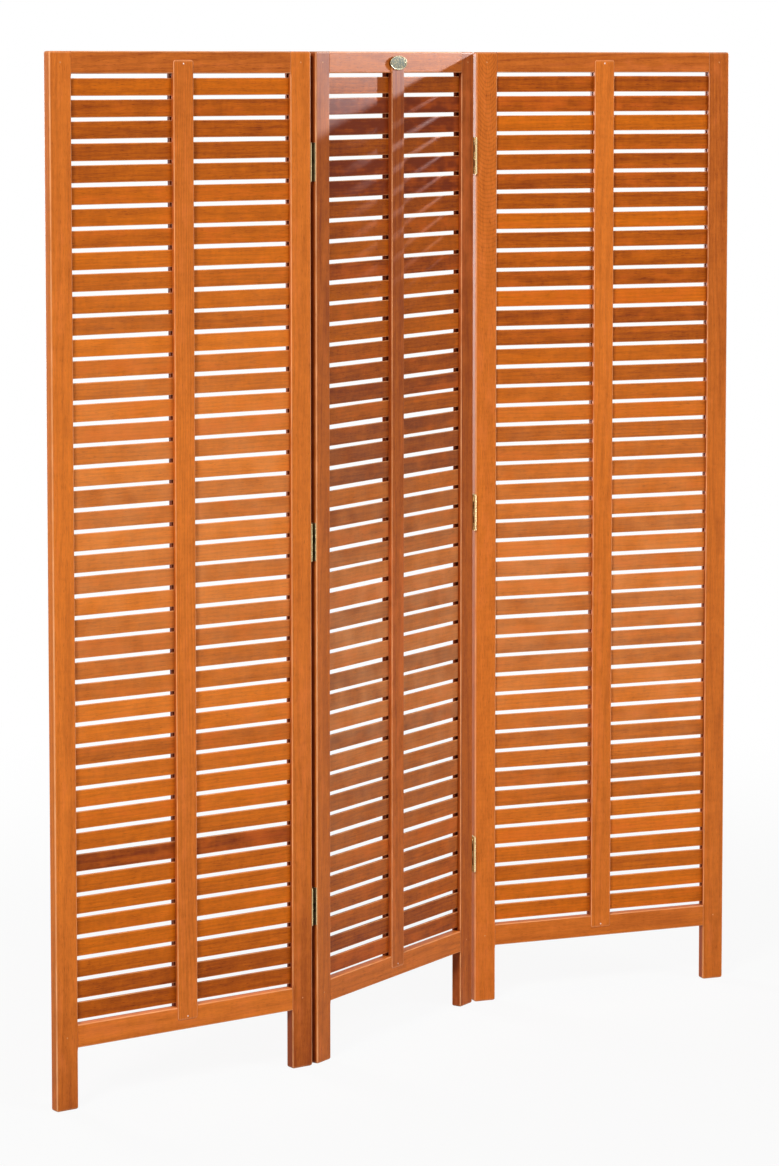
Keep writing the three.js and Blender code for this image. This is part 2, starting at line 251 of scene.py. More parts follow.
# The pegs show end grain: rings and open pores across the dot.
def pegFinish():
    look = {"light": (0.78, 0.36, 0.13, 1.0), "dark": (0.42, 0.15, 0.045, 1.0), "roughness": 0.6}
    wood = newFinish("peg_end_grain")
    place = wood.add("TexCoord", None, None, "Object")
    rings = wood.noise(place, (900.0, 900.0, 900.0), 3.0, 0.6)
    dots = wood.noise(place, (4200.0, 4200.0, 4200.0), 1.0, 0.5)
    level = wood.between(rings * 0.7 + dots * 0.3, 0.3, 0.7)
    bump = wood.add("Bump", None, {"Strength": 0.4, "Distance": 0.00006, "Height": dots})
    sockets = {
        "Base Color": wood.colour(level, look["dark"], look["light"]),
        "Roughness": look["roughness"] + dots * 0.1,
        "Specular IOR Level": 0.25,
        "Normal": bump,
    }
    return wood.surface(wood.add("BsdfPrincipled", None, sockets))


# Rolled metal: a fine brushed lay, handling marks and a dull film in patches.
def metalFinish(name, look):
    metal = newFinish(name)
    place = metal.add("TexCoord", None, None, "Object")
    brushed = metal.noise(place, look["lay"], 3.0, 0.6)
    film = metal.noise(place, (look["patch"],) * 3, 4.0, 0.6)
    specks = metal.between(metal.noise(place, (1900.0, 1900.0, 1900.0), 1.0, 0.5), 0.62, 0.72)
    dull = metal.between(film, *look["filmFrom"])
    tone = metal.colour(dull * look["filmShare"], look["bright"], look["film"])
    tone = metal.colour(specks * 0.5, tone, look["speck"])
    bump = metal.add("Bump", None, {"Strength": 0.35, "Distance": 0.00004, "Height": brushed})
    sockets = {
        "Base Color": tone,
        "Metallic": 1.0 - specks * 0.4,
        "Roughness": look["roughness"] + dull * 0.14 + (brushed - 0.5) * 0.12,
        "Normal": bump,
    }
    return metal.surface(metal.add("BsdfPrincipled", None, sockets))


metalLooks = {
    "hinge": {
        "bright": (0.86, 0.68, 0.36, 1.0), "film": (0.58, 0.42, 0.19, 1.0),
        "speck": (0.20, 0.14, 0.07, 1.0), "filmShare": 0.7, "roughness": 0.26,
        "lay": (2600.0, 2600.0, 90.0), "filmFrom": (0.42, 0.68), "patch": 170.0,
    },
    # painted shade: a near-black metal for the leaf flats deep in the fold
    "leaf": {
        "bright": (0.26, 0.19, 0.09, 1.0), "film": (0.030, 0.021, 0.010, 1.0),
        "speck": (0.02, 0.015, 0.01, 1.0), "filmShare": 0.95, "roughness": 0.42,
        "lay": (2600.0, 2600.0, 90.0), "filmFrom": (0.42, 0.68), "patch": 60.0,
    },
    "plate": {
        "bright": (0.22, 0.17, 0.085, 1.0), "film": (0.022, 0.026, 0.012, 1.0),
        "speck": (0.02, 0.02, 0.015, 1.0), "filmShare": 0.95, "roughness": 0.32,
        "lay": (120.0, 120.0, 2400.0), "filmFrom": (0.40, 0.53), "patch": 260.0,
    },
    "rim": {
        "bright": (0.36, 0.28, 0.15, 1.0), "film": (0.06, 0.055, 0.025, 1.0),
        "speck": (0.05, 0.05, 0.03, 1.0), "filmShare": 0.85, "roughness": 0.34,
        "lay": (900.0, 900.0, 900.0), "filmFrom": (0.42, 0.62), "patch": 420.0,
    },
    "steel": {
        "bright": (0.78, 0.74, 0.68, 1.0), "film": (0.50, 0.44, 0.36, 1.0),
        "speck": (0.16, 0.12, 0.09, 1.0), "filmShare": 0.6, "roughness": 0.30,
        "lay": (2200.0, 2200.0, 2200.0), "filmFrom": (0.42, 0.68), "patch": 300.0,
    },
}

finishes = {
    "frame": woodFinish("frame_hardwood", woodLooks["frame"]),
    "slat": woodFinish("slat_hardwood", woodLooks["slat"]),
    "peg": pegFinish(),
    "hinge": metalFinish("hinge_brass_finish", metalLooks["hinge"]),
    "leaf": metalFinish("leaf_painted_shade_brass", metalLooks["leaf"]),
    "plate": metalFinish("plate_brass_finish", metalLooks["plate"]),
    "rim": metalFinish("plate_rim_finish", metalLooks["rim"]),
    "steel": metalFinish("brad_steel_finish", metalLooks["steel"]),
}
print("finishes made")


# Surfaces

# Outlines joined one to the next, with both ends closed: the faces of a grid of
# stations by points around, where the last point meets the first.
def shellFaces(stations, around):
    here = np.arange(around)
    onward = (here + 1) % around
    rows = np.arange(stations - 1)[:, None] * around
    quads = np.stack([rows + here, rows + onward, rows + onward + around, rows + here + around])
    faces = np.moveaxis(quads, 0, -1).reshape(-1, 4).tolist()
    last = (stations - 1) * around
    return faces + [here[::-1].tolist(), (last + here).tolist()]


# Several shells made one mesh: their points one after the other, with faces counted on.
def joinShells(sectionList):
    points, faces, count = [], [], 0
    for sections in sectionList:
        stations, around = sections.shape[:2]
        points.append(sections.reshape(-1, 3))
        faces += [[count + corner for corner in face] for face in shellFaces(stations, around)]
        count += stations * around
    return np.concatenate(points), faces


def newObject(name, data):
    thing = bpy.data.objects.new(name, data)
    bpy.context.scene.collection.objects.link(thing)
    return thing


def newPiece(name, points, faces, material, sharpAngle=40.0, attributes=None):
    mesh = bpy.data.meshes.new(name)
    mesh.from_pydata(points.tolist(), [], faces)
    for label, values in (attributes or {}).items():
        if values.ndim == 2:
            layer = mesh.attributes.new(label, "FLOAT_VECTOR", "POINT")
            layer.data.foreach_set("vector", values.astype(np.float32).ravel())
        else:
            layer = mesh.attributes.new(label, "FLOAT", "POINT")
            layer.data.foreach_set("value", values.astype(np.float32))
    shape = bmesh.new()
    shape.from_mesh(mesh)
    bmesh.ops.remove_doubles(shape, verts=shape.verts, dist=1e-6)
    bmesh.ops.dissolve_degenerate(shape, dist=1e-7, edges=shape.edges)
    bmesh.ops.recalc_face_normals(shape, faces=shape.faces)
    shape.to_mesh(mesh)
    shape.free()
    mesh.shade_smooth()
    mesh.set_sharp_from_angle(angle=math.radians(sharpAngle))
    mesh.materials.append(material)
    piece = newObject(name, mesh)
    weighted = piece.modifiers.new("even_faces", "WEIGHTED_NORMAL")
    weighted.keep_sharp = True
    return piece


def settle(piece, body, slotName, *nodes):
    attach(piece, body)
    if nodes:
        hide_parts(*nodes)


# How far a quarter round draws an edge in, at a distance from the end that it rounds:
# r - sqrt(r^2 - (r - d)^2), and nothing beyond r.
def easing(distance, radius):
    short = np.clip(radius - distance, 0.0, radius)
    return radius - np.sqrt(np.maximum(radius ** 2 - short ** 2, 0.0))


# Rounded rectangles, one for each station. Each corner is its own centre plus its radius
# times the unit circle, through a quarter turn. Corners run from high and front, by high
# and back and low and back, to low and front. Returns distances across and through.
def roundedOutlines(low, high, front, back, radii, steps):
    corner = np.repeat(np.arange(4), steps + 1)
    turn = np.tile(np.linspace(0.0, 1.0, steps + 1), 4)
    angle = (corner - 1 + turn) * math.pi / 2
    edgeAcross = np.stack([high, high, low, low], axis=1)[:, corner]
    edgeThrough = np.stack([front, back, back, front], axis=1)[:, corner]
    inAcross = np.array([-1, -1, 1, 1])[corner]
    inThrough = np.array([1, -1, -1, 1])[corner]
    radius = radii[:, corner]
    across = edgeAcross + radius * (inAcross + np.cos(angle))
    through = edgeThrough + radius * (inThrough + np.sin(angle))
    return across, through, 4 * turn * (1 - turn)


boardLook = {
    "wornAndLitEnd": 0.004,  # how far from a board's end its wear and painted highlight fade out
    "endWearAndPaintedLight": 0.6, "waver": 0.00010,
    "trunk": 12.0, "leanAcross": 0.006, "leanThrough": 0.012,
}
# How much painted shade darkens some points of a board's outline, counted round from its high
# front corner: a stile's groove walls, a stile's edge deep in the left fold, a front bar's back
# corners against the slats and the back bar's front corners and sides, where shade falls between
# parts.
paintedShade = {
    "groove": (0.55, range(4, 8)), "fold": (1.9, (15,)), "slatSide": (0.50, range(4, 12)),
    "backBar": (1.10, (0, 1, 2, 3, 4, 11, 12, 13, 14, 15)),
}


def boardStations(length, radius, spacing, extra=()):
    turn = np.linspace(0.0, math.pi / 2, 5)
    ends = radius * (1 - np.cos(turn))
    run = np.linspace(radius, length - radius, max(3, round(length / spacing)))
    wornAndPaintedLight = [boardLook["wornAndLitEnd"], length - boardLook["wornAndLitEnd"]]
    return np.unique(np.round(np.concatenate([ends, wornAndPaintedLight, run, length - ends, extra]), 7))


# How a board was sawn: where it lay along the trunk, how far the heart is from its middle
# across and through, and how much the board leans from the heart along its length.
def sawnFrom(aside, deep, lean=(0.0, 0.0), spread=(0.012, 0.010)):
    return {
        "start": saw.uniform(0.0, boardLook["trunk"]),
        "aside": aside + saw.normal(0.0, spread[0]),
        "deep": deep + saw.normal(0.0, spread[1]),
        "lean": (lean[0] + saw.normal(0.0, boardLook["leanAcross"]),
                 lean[1] + saw.normal(0.0, boardLook["leanThrough"])),
        "scale": 1.0, "shown": 1.0,
    }


# A board as an outline carried along its length, in its own along, across and through.
# `ease` gives the radii of its long edges and of its ends; a groove may run in one edge.
# `tone` is one value or places along the board with theirs, some of it painted shade; `shade` is
# a list of painted shade, and a painted sheen may pale the whole board.
def makeBoard(length, width, front, back, ease, cut, tone, spacing=0.07, steps=3, groove=None,
              shade=(), paintedSheenAll=0.0):
    extra = groove["stations"] if groove else ()
    along = boardStations(length, max(ease["corner"], 1e-4), spacing, extra)
    toEnd = np.minimum(along, length - along)
    high = width / 2 - easing(toEnd, ease["corner"])
    waver = boardLook["waver"] * np.sin(along * saw.uniform(6, 14) + saw.uniform(0, 6))
    radii = np.tile([ease["front"], ease["back"], ease["back"], ease["front"]], (len(along), 1))
    if "inner" in ease:
        innerRadius = np.interp(along, *ease["inner"])
        radii[:, :2] = innerRadius[:, None]
    radii = radii + np.abs(waver)[:, None]
    frontFace = front + easing(toEnd, ease["end"])
    backFace = back - easing(toEnd, ease["endBack"])
    across, through, wearAndPaintedLight = roundedOutlines(-high, high, frontFace, backFace, radii, steps)
    wearAndPaintedLight = np.broadcast_to(wearAndPaintedLight, across.shape)
    if groove:
        inside = (along > groove["low"]) & (along < groove["high"])
        dip = np.outer(inside * groove["depth"], [0.0, 1.0, 1.0, 0.0])
        walls = np.tile(np.array([-1.0, -1.0, 1.0, 1.0]) * groove["half"], (len(along), 1))
        k = steps + 1
        across = np.hstack([across[:, :k], high[:, None] - dip, across[:, k:]])
        through = np.hstack([through[:, :k], walls, through[:, k:]])
        wearAndPaintedLight = np.hstack([wearAndPaintedLight[:, :k], 0 * walls, wearAndPaintedLight[:, k:]])
    wearAndPaintedLight = np.maximum(wearAndPaintedLight, paintedSheenAll)
    # the ends' arrises lighten too: partly wear, partly a painted highlight
    rubbedAndLit = boardLook["endWearAndPaintedLight"] if ease["end"] + ease["endBack"] > 0.001 else 0.0
    endWearAndPaintedLight = rubbedAndLit * np.clip(1.0 - toEnd / boardLook["wornAndLitEnd"], 0.0, 1.0)[:, None]
    tones = np.interp(along, *tone) if isinstance(tone, tuple) else np.full(len(along), tone)
    tones = np.repeat(tones[:, None], across.shape[1], axis=1)
    for amount, columns in shade:
        tones[:, list(columns)] -= amount
    run = np.broadcast_to(along[:, None], across.shape)
    grain = np.stack([cut["start"] + run, across, through + 0.1 * cut["start"]], axis=-1)
    shown = np.interp(along, *cut["shown"]) if isinstance(cut["shown"], tuple) else cut["shown"]
    rings = np.stack([
        cut["scale"] * (across - cut["aside"] + cut["lean"][0] * run),
        cut["scale"] * (through - cut["deep"] + cut["lean"][1] * run),
        np.broadcast_to(np.reshape(shown, (-1, 1)), run.shape),
    ], axis=-1)
    return {
        "run": run, "across": across, "through": through,
        "grain": grain.reshape(-1, 3), "rings": rings.reshape(-1, 3),
        "wearAndPaintedLight": np.maximum(wearAndPaintedLight, endWearAndPaintedLight).ravel(),
        "tone": tones.ravel(),
    }


# A board stood upright with its high edge to +X, or to -X where flip is -1.
def upright(board, x, z, flip=1):
    points = [x + flip * board["across"], board["through"], z + board["run"]]
    return np.stack(points, axis=-1)


def level(board, x, z):
    points = [x + board["run"], board["through"], z + board["across"]]
    return np.stack(points, axis=-1)


def woodPiece(name, panel, placed, finish):
    points, faces = joinShells([sections for sections, board in placed])
    attributes = {
        "grainPlace": np.concatenate([board["grain"] for sections, board in placed]),
        "ringPlace": np.concatenate([board["rings"] for sections, board in placed]),
        "boardTone": np.concatenate([board["tone"] for sections, board in placed]),
        "arrisWearAndPaintedLight": np.concatenate([board["wearAndPaintedLight"] for sections, board in placed]),
    }
    return newPiece(name, standPanel(points, panel), faces, finishes[finish], 40.0, attributes)


# Frames: two stiles that run down as legs, and two rails between them

frameSizes = {
    "height": 1.700, "width": 0.496, "thickness": 0.018, "stile": 0.040,
    "topRail": 0.036, "bottomRail": 0.038, "leg": 0.100, "fit": 0.0003,
    "outerArris": 0.0025, "innerArris": 0.0018, "jointArris": 0.0005, "corner": 0.0035,
    "grooveDepth": 0.008, "grooveHalf": 0.0028,
}
half = frameSizes["thickness"] / 2
opening = frameSizes["width"] - 2 * frameSizes["stile"]
railTop = frameSizes["leg"] + frameSizes["bottomRail"]  # the bottom rail's upper edge
railUnder = frameSizes["height"] - frameSizes["topRail"]  # the top rail's lower edge

# A board's tones at these heights, with painted shade: the legs darken towards their feet, where
# less light reaches near the floor, the middle panel's boards are darker all over and darker still
# towards its top, as the shaded copy of the same wood, and some other boards darken towards the
# top.
toneHeights = (0.0, 0.11, 0.35, 0.95, 1.50)
stileTones = {
    "left_panel": ((0.40, 0.50, 0.74, 0.74, 0.61), (0.20, 0.30, 0.57, 0.64, 0.65)),
    "middle_panel": ((0.42, 0.46, 0.54, 0.46, 0.25), (0.30, 0.33, 0.37, 0.32, 0.20)),
    "right_panel": ((0.52, 0.56, 0.64, 0.61, 0.54), (0.50, 0.51, 0.52, 0.55, 0.36)),
}
railTones = {
    "left_panel": (0.41, 0.71), "middle_panel": (0.44, 0.57), "right_panel": (0.44, 0.52),
}


def makeStile(panel, side, tone, cut):
    sizes = frameSizes
    blend = 0.006  # over which the inner edges change at a joint
    heights = [
        sizes["leg"] - blend, sizes["leg"], railTop, railTop + blend,
        railUnder - blend, railUnder,
    ]
    inner, joint = sizes["innerArris"], sizes["jointArris"]
    ease = {
        "front": sizes["outerArris"], "back": sizes["outerArris"], "corner": sizes["corner"],
        "end": sizes["outerArris"], "endBack": sizes["outerArris"],
        "inner": (heights, [inner, joint, joint, inner, inner, joint]),
    }
    step = 0.00004
    groove = {
        "low": railTop, "high": railUnder, "depth": sizes["grooveDepth"],
        "half": sizes["grooveHalf"],
        "stations": [railTop - step, railTop + step, railUnder - step, railUnder + step] + heights,
    }
    # painted shade on the groove's walls, which show as the dark notches at the slats' ends
    shade = [paintedShade["groove"]]
    if (panel, side) in (("left_panel", 1), ("middle_panel", -1)):
        shade.append(paintedShade["fold"])  # painted shade deep in the fold that opens to the front
    board = makeBoard(sizes["height"], sizes["stile"], -half, half, ease, cut,
                      (toneHeights, tone), groove=groove, shade=shade)
    x = side * (sizes["width"] - sizes["stile"]) / 2
    node = panel + ("_left_stile" if side < 0 else "_right_stile")
    placed = [(upright(board, x, 0.0, -side), board)]
    piece = woodPiece(node.replace("stile", "upright"), panel, placed, "frame")
    settle(piece, panel, "frame_wood", node)


def makeRail(panel, end, tone):
    sizes = frameSizes
    low, high = (railUnder, sizes["height"]) if end == "top" else (sizes["leg"], railTop)
    ease = {
        "front": 0.0022, "back": 0.0022, "corner": 0.0003, "end": 0.0004, "endBack": 0.0004,
    }
    length = opening - 2 * sizes["fit"]
    cut = sawnFrom(0.010, 0.045)
    board = makeBoard(length, high - low, -half, half, ease, cut, tone)
    sections = level(board, -length / 2, (low + high) / 2)
    node = panel + "_" + end + "_rail"
    piece = woodPiece(node + "_board", panel, [(sections, board)], "frame")
    settle(piece, panel, "frame_wood", node)


for panel in panels:
    for side, tone in zip((-1, 1), stileTones[panel]):
        cut = sawnFrom(0.004, 0.034)
        if panel == "right_panel" and side < 0:
            # cut across the rings near its top, which gives a nest of arches there
            cut = {"start": 3.0, "aside": 0.002, "deep": 0.40, "lean": (0.0, 0.225),
                   "scale": 2.7, "shown": ((1.20, 1.42), (0.2, 1.35))}
        makeStile(panel, side, tone, cut)
    for end, tone in zip(("top", "bottom"), railTones[panel]):
        makeRail(panel, end, tone)
print("frames made")


# Slats, their ends in the stiles' grooves

slatSizes = {
    "count": 44, "height": 0.028, "thickness": 0.005, "edge": 0.0013, "intoGroove": 0.0077,
    "play": 0.00022, "mostPlay": 0.0005, "bow": 0.0003, "mostBow": 0.0006,
    "tone": 0.61, "toneSpread": 0.075, "chosenSpread": 0.015, "toneEvery": 11, "paintedSheenReach": 9,
}
# Painted shade: how the slats' tone changes up a panel, from the lowest slat by elevenths to the
# highest. The middle panel's slats are darker all over and darker still towards the top, as the
# shaded copy of the same wood, and the other panels' upper slats are a little darker.
panelTones = {
    "left_panel": (0.0, 0.0, 0.0, 0.0, -0.08), "middle_panel": (-0.19, -0.26, -0.26, -0.29, -0.36),
    "right_panel": (0.0, -0.09, -0.12, -0.14, -0.13),
}
# Painted sheen: the slats about this number are paled by this share, a pale reflection laid into
# their colour.
paintedSheen = {"left_panel": (22, 0.28), "middle_panel": (15, 0.40), "right_panel": (16, 0.30)}
# Boards that stand out, counted up from the bottom rail.
slatTones = {
    "left_panel": {
        0.16: (7,), 0.36: (0, 1), 0.46: (39, 40, 41, 42), 0.52: (2, 12, 15, 20, 24),
        0.74: (13, 19, 22, 25, 28, 31),
    },
    "middle_panel": {
        0.38: (38, 39, 41, 42), 0.46: (0, 1, 11, 14, 24, 25, 28), 0.54: (2, 8, 9, 17),
        0.76: (12, 18, 19, 23, 31, 33),
    },
    "right_panel": {
        0.42: (31, 38, 43), 0.48: (7, 14, 30, 33, 39, 42), 0.54: (0, 2, 28, 34),
        0.76: (11, 17, 19, 26, 32, 36),
    },
}


def slatTone(panel, number):
    tone = slatSizes["tone"] + saw.normal(0.0, slatSizes["toneSpread"])
    for chosen, numbers in slatTones[panel].items():
        if number in numbers:
            tone = chosen + saw.normal(0.0, slatSizes["chosenSpread"])
    return tone + np.interp(number / slatSizes["toneEvery"], range(5), panelTones[panel])


def makeSlats(panel):
    sizes = slatSizes
    gap = (railUnder - railTop - sizes["count"] * sizes["height"]) / (sizes["count"] + 1)
    length = opening + 2 * sizes["intoGroove"]
    ease = {
        "front": sizes["edge"], "back": sizes["edge"], "corner": 0.0004,
        "end": 0.0, "endBack": 0.0,
    }
    thick = sizes["thickness"] / 2
    placed = []
    for number in range(sizes["count"]):
        cut = sawnFrom(0.030, 0.022, spread=(0.020, 0.014))
        middle, share = paintedSheen[panel]
        # painted sheen: a pale wash, strongest at the middle slat and fading away from it
        pale = share * math.exp(-((number - middle) / sizes["paintedSheenReach"]) ** 2)
        board = makeBoard(length, sizes["height"], -thick, thick, ease, cut,
                          slatTone(panel, number), spacing=0.09, steps=2, paintedSheenAll=pale)
        z = railTop + gap + sizes["height"] / 2 + number * (sizes["height"] + gap)
        play = saw.normal(0.0, sizes["play"])
        z = z + np.clip(play, -sizes["mostPlay"], sizes["mostPlay"])
        bow = saw.normal(0.0, sizes["bow"]) * (1 - (2 * board["run"] / length - 1) ** 2)
        board["across"] = board["across"] + np.clip(bow, -sizes["mostBow"], sizes["mostBow"])
        placed.append((level(board, -length / 2, z), board))
    piece = woodPiece(panel + "_slats", panel, placed, "slat")
    settle(piece, panel, "slat_wood", panel + "_slats_and_back_bar")


for panel in panels:
    makeSlats(panel)
print("slats made")


# Centre bars: one let into the front of both rails and one behind the slats

barSizes = {
    "width": 0.038, "proud": 0.0015, "topMargin": 0.014, "bottomMargin": 0.016,
    "arris": 0.0015, "corner": 0.004, "frontInner": 0.0028, "backInner": 0.0023,
    "innerArris": 0.0003,
}
barLow = frameSizes["leg"] + barSizes["bottomMargin"]
barHigh = frameSizes["height"] - barSizes["topMargin"]
barFace = half + barSizes["proud"]
# Painted shade: the middle panel's bar is darker all over and darker still towards its top, as the
# shaded copy of the same wood.
barTones = {
    "left_panel": (0.62, 0.62, 0.63, 0.72, 0.55), "middle_panel": (0.42, 0.42, 0.41, 0.34, 0.16),
    "right_panel": (0.58, 0.58, 0.60, 0.68, 0.68),
}


def makeBar(panel, which):
    sizes = barSizes
    ease = {"corner": sizes["corner"]}
    if which == "front":
        low, high = -barFace, -sizes["frontInner"]
        ease.update({"front": sizes["arris"], "back": sizes["innerArris"]})
        ease.update({"end": sizes["arris"], "endBack": 0.0})
    else:
        low, high = sizes["backInner"], barFace
        ease.update({"front": sizes["innerArris"], "back": sizes["arris"]})
        ease.update({"end": 0.0, "endBack": sizes["arris"]})
    cut = sawnFrom(0.012, 0.040)
    # painted shade where a bar meets the slats, and all over the sides of the one behind them
    shade = [paintedShade["slatSide" if which == "front" else "backBar"]]
    board = makeBoard(barHigh - barLow, sizes["width"], low, high, ease, cut,
                      (toneHeights, barTones[panel]), shade=shade)
    piece = woodPiece(panel + "_" + which + "_centre_bar", panel,
                      [(upright(board, 0.0, barLow), board)], "frame")
    if which == "front":
        settle(piece, panel, "frame_wood", panel + "_front_bar")
    else:
        settle(piece, panel, "slat_wood", panel + "_slats_and_back_bar")


for panel in panels:
    makeBar(panel, "front")
    makeBar(panel, "back")
print("bars made")


# Turned pieces: each profile gives distances along the axis and radii, and the surface is
# (distance, radius cos a, radius sin a) for a once round.
def turned(profile, around):
    distance, radius = np.array(profile).T * mm
    angle = np.arange(around) * 2 * math.pi / around
    out = np.outer(radius, np.cos(angle))
    up = np.outer(radius, np.sin(angle))
    run = np.broadcast_to(distance[:, None], out.shape)
    return run, out, up


pegSizes = {"radius": 1.5, "crown": 0.12, "fromShoulder": 0.020, "sides": 20}
bradSizes = {"inset": 0.006, "head": 1.2, "shank": 0.6, "crown": 0.14, "reach": 12.2, "sides": 20}


def makePegs(panel):
    r, crown = pegSizes["radius"], pegSizes["crown"]
    face = half / mm
    front = [(-face - crown, 0.0), (-face - 0.8 * crown, 0.5 * r), (-face, 0.9 * r),
             (-face + 0.15, r)]
    profile = front + [(-distance, radius) for distance, radius in reversed(front)]
    run, out, up = turned(profile, pegSizes["sides"])
    middles = {"top": (railUnder + frameSizes["height"]) / 2,
               "bottom": (frameSizes["leg"] + railTop) / 2}
    for sideName, side in (("left", -1), ("right", 1)):
        for end, z in middles.items():
            x = side * (opening / 2 + pegSizes["fromShoulder"])
            points, faces = joinShells([np.stack([x + out, run, z + up], axis=-1)])
            node = "_".join([panel, end, sideName, "peg"])
            piece = newPiece(node + "_dot", standPanel(points, panel), faces, finishes["peg"])
            settle(piece, panel, "peg_wood", node)


def makeBrads(panel):
    head, shank, crown = bradSizes["head"], bradSizes["shank"], bradSizes["crown"]
    profile = [
        (-crown, 0.0), (-0.9 * crown, 0.4 * head), (-0.5 * crown, 0.8 * head), (0.0, head),
        (0.6, head), (0.62, shank), (bradSizes["reach"] - 1.2, shank), (bradSizes["reach"], 0.0),
    ]
    run, out, up = turned(profile, bradSizes["sides"])
    for end, z in (("top", barHigh - bradSizes["inset"]), ("bottom", barLow + bradSizes["inset"])):
        points, faces = joinShells([np.stack([out, run - barFace, z + up], axis=-1)])
        node = panel + "_bar_" + end + "_brad"
        piece = newPiece(node + "_nail", standPanel(points, panel), faces, finishes["steel"])
        settle(piece, panel, "brad_steel", node)


for panel in panels:
    makePegs(panel)
    makeBrads(panel)
print("pegs and brads made")


# Hinges. Each is drawn about its own axis: X across the fold, Y through the panel, Z up.

hingeSizes = {
    "height": 64.0, "seat": 1.7, "thickness": 1.5, "depth": 20.1, "knuckles": 5,
    "barrel": 2.5, "bore": 1.18, "clear": 2.8, "edge": 0.25, "joint": 0.15,
    "pin": 1.1, "pinHead": 2.0, "pinCrown": 0.9,
    "screwSpacing": 22.0, "screwFrom": 10.6, "screwHead": 2.45, "screwSink": 2.6,
    "screwThrough": 1.5, "screwLength": 1.3, "slotHalf": 0.36, "slotDepth": 0.75,
    "sharpAngle": 35.0,
}


# A leaf's plate: a thin rounded outline carried up the leaf, whose edge stands at the axis
# where it has a knuckle and back from the barrel where the other leaf has one.
def leafPlate(side, face):
    sizes = hingeSizes
    pitch = sizes["height"] / sizes["knuckles"]
    rolled = 0 if side > 0 else 1
    last = sizes["knuckles"] - 1
    step = 0.01  # over which the edge steps in and out
    lip = 0.12  # the height of the eased ends
    heights, near = [], []
    for number in range(sizes["knuckles"]):
        own = number % 2 == rolled
        low = number * pitch + (sizes["joint"] if own and number else 0.0)
        high = (number + 1) * pitch - (sizes["joint"] if own and number < last else 0.0)
        heights += [low + step if number else low, high - step if number < last else high]
        near += [0.0 if own else sizes["clear"]] * 2
    top = sizes["height"]
    heights = np.concatenate([[0.0, lip], heights[1:-1], [top - lip, top]])
    near = np.concatenate([[near[0]], near, [near[-1]]])
    toEnd = np.minimum(heights, sizes["height"] - heights)
    ease = easing(toEnd, sizes["edge"])
    radii = np.full((len(heights), 4), sizes["edge"] * 0.8)
    low = np.full(len(heights), -sizes["depth"]) + ease
    high = -near
    front = np.full(len(heights), sizes["seat"] - sizes["thickness"]) + ease
    back = np.full(len(heights), sizes["seat"]) - ease
    across, through, wearAndPaintedLight = roundedOutlines(low, high, front, back, radii, 2)
    run = np.broadcast_to(heights[:, None] - sizes["height"] / 2, across.shape)
    return np.stack([side * through, face * across, run], axis=-1)


# A knuckle: the leaf's sheet rolled round the pin, an arc of the barrel with a fine seam
# left where it comes back to the leaf.
def knuckle(side, face, number):
    sizes = hingeSizes
    pitch = sizes["height"] / sizes["knuckles"]
    length = pitch - 2 * sizes["joint"]
    distance = np.array([0.0, 0.06, 0.16, 0.3, length - 0.3, length - 0.16, length - 0.06, length])
    ease = easing(np.minimum(distance, length - distance), 0.3)
    outer = (sizes["barrel"] - ease)[:, None]
    inner = (sizes["bore"] + ease * 0.3)[:, None]
    turn = np.radians(np.linspace(-80.0, 267.0, 40))
    out = np.hstack([outer * np.cos(turn), inner * np.cos(turn[::-1])])
    back = np.hstack([outer * np.sin(turn), inner * np.sin(turn[::-1])])
    low = number * pitch + sizes["joint"] - sizes["height"] / 2
    run = np.broadcast_to((low + distance)[:, None], out.shape)
    return np.stack([side * out, face * back, run], axis=-1)


# A countersunk head: chords of a disc, each the thickness of the head, with a slot pressed
# across the middle ones. At a distance u from the middle a chord is 2 sqrt(r^2 - u^2) long.
def screwHead(side, y, z, turnBy):
    sizes = hingeSizes
    r, slot = sizes["screwHead"], sizes["slotHalf"]
    reach = np.array([0.0, 0.12, 0.3, 0.5, 0.7, 0.85, 0.95, 1.0])
    outer = slot + (r - slot) * reach
    u = np.concatenate([-outer[::-1], [-slot + 1e-3, slot - 1e-3], outer])
    chord = np.sqrt(np.maximum(r ** 2 - u ** 2, 0.0))
    inSlot = np.abs(u) < slot
    v = np.linspace(-1.0, 1.0, 11)
    top = np.where(inSlot, -sizes["slotDepth"], 0.0)[:, None]
    crown = 0.10 * np.clip(1 - (u[:, None] ** 2 + np.outer(chord, v) ** 2) / r ** 2, 0, 1)
    upper = top + np.where(inSlot[:, None], 0.0, crown)
    lower = np.full(upper.shape, -sizes["screwLength"])
    across = np.hstack([np.outer(chord, v), np.outer(chord, v[::-1])])
    height = np.hstack([upper, lower]) - 0.05
    along = np.broadcast_to(u[:, None], across.shape)
    cosine, sine = math.cos(turnBy), math.sin(turnBy)
    gapSide = sizes["seat"] - sizes["thickness"]
    return np.stack([
        side * (gapSide - height),
        y + along * cosine - across * sine,
        z + along * sine + across * cosine,
    ], axis=-1)


# The hole that a screw sits in: a cone from the leaf's gap side to its back.
def countersink(side, y, z):
    sizes = hingeSizes
    gapSide = sizes["seat"] - sizes["thickness"]
    profile = [
        (gapSide - 0.5, sizes["screwSink"] + 0.5), (gapSide, sizes["screwSink"]),
        (sizes["seat"], sizes["screwThrough"]), (sizes["seat"] + 0.5, sizes["screwThrough"]),
    ]
    run, out, up = turned(profile, 32)
    return np.stack([side * run / mm, y + out / mm, z + up / mm], axis=-1)


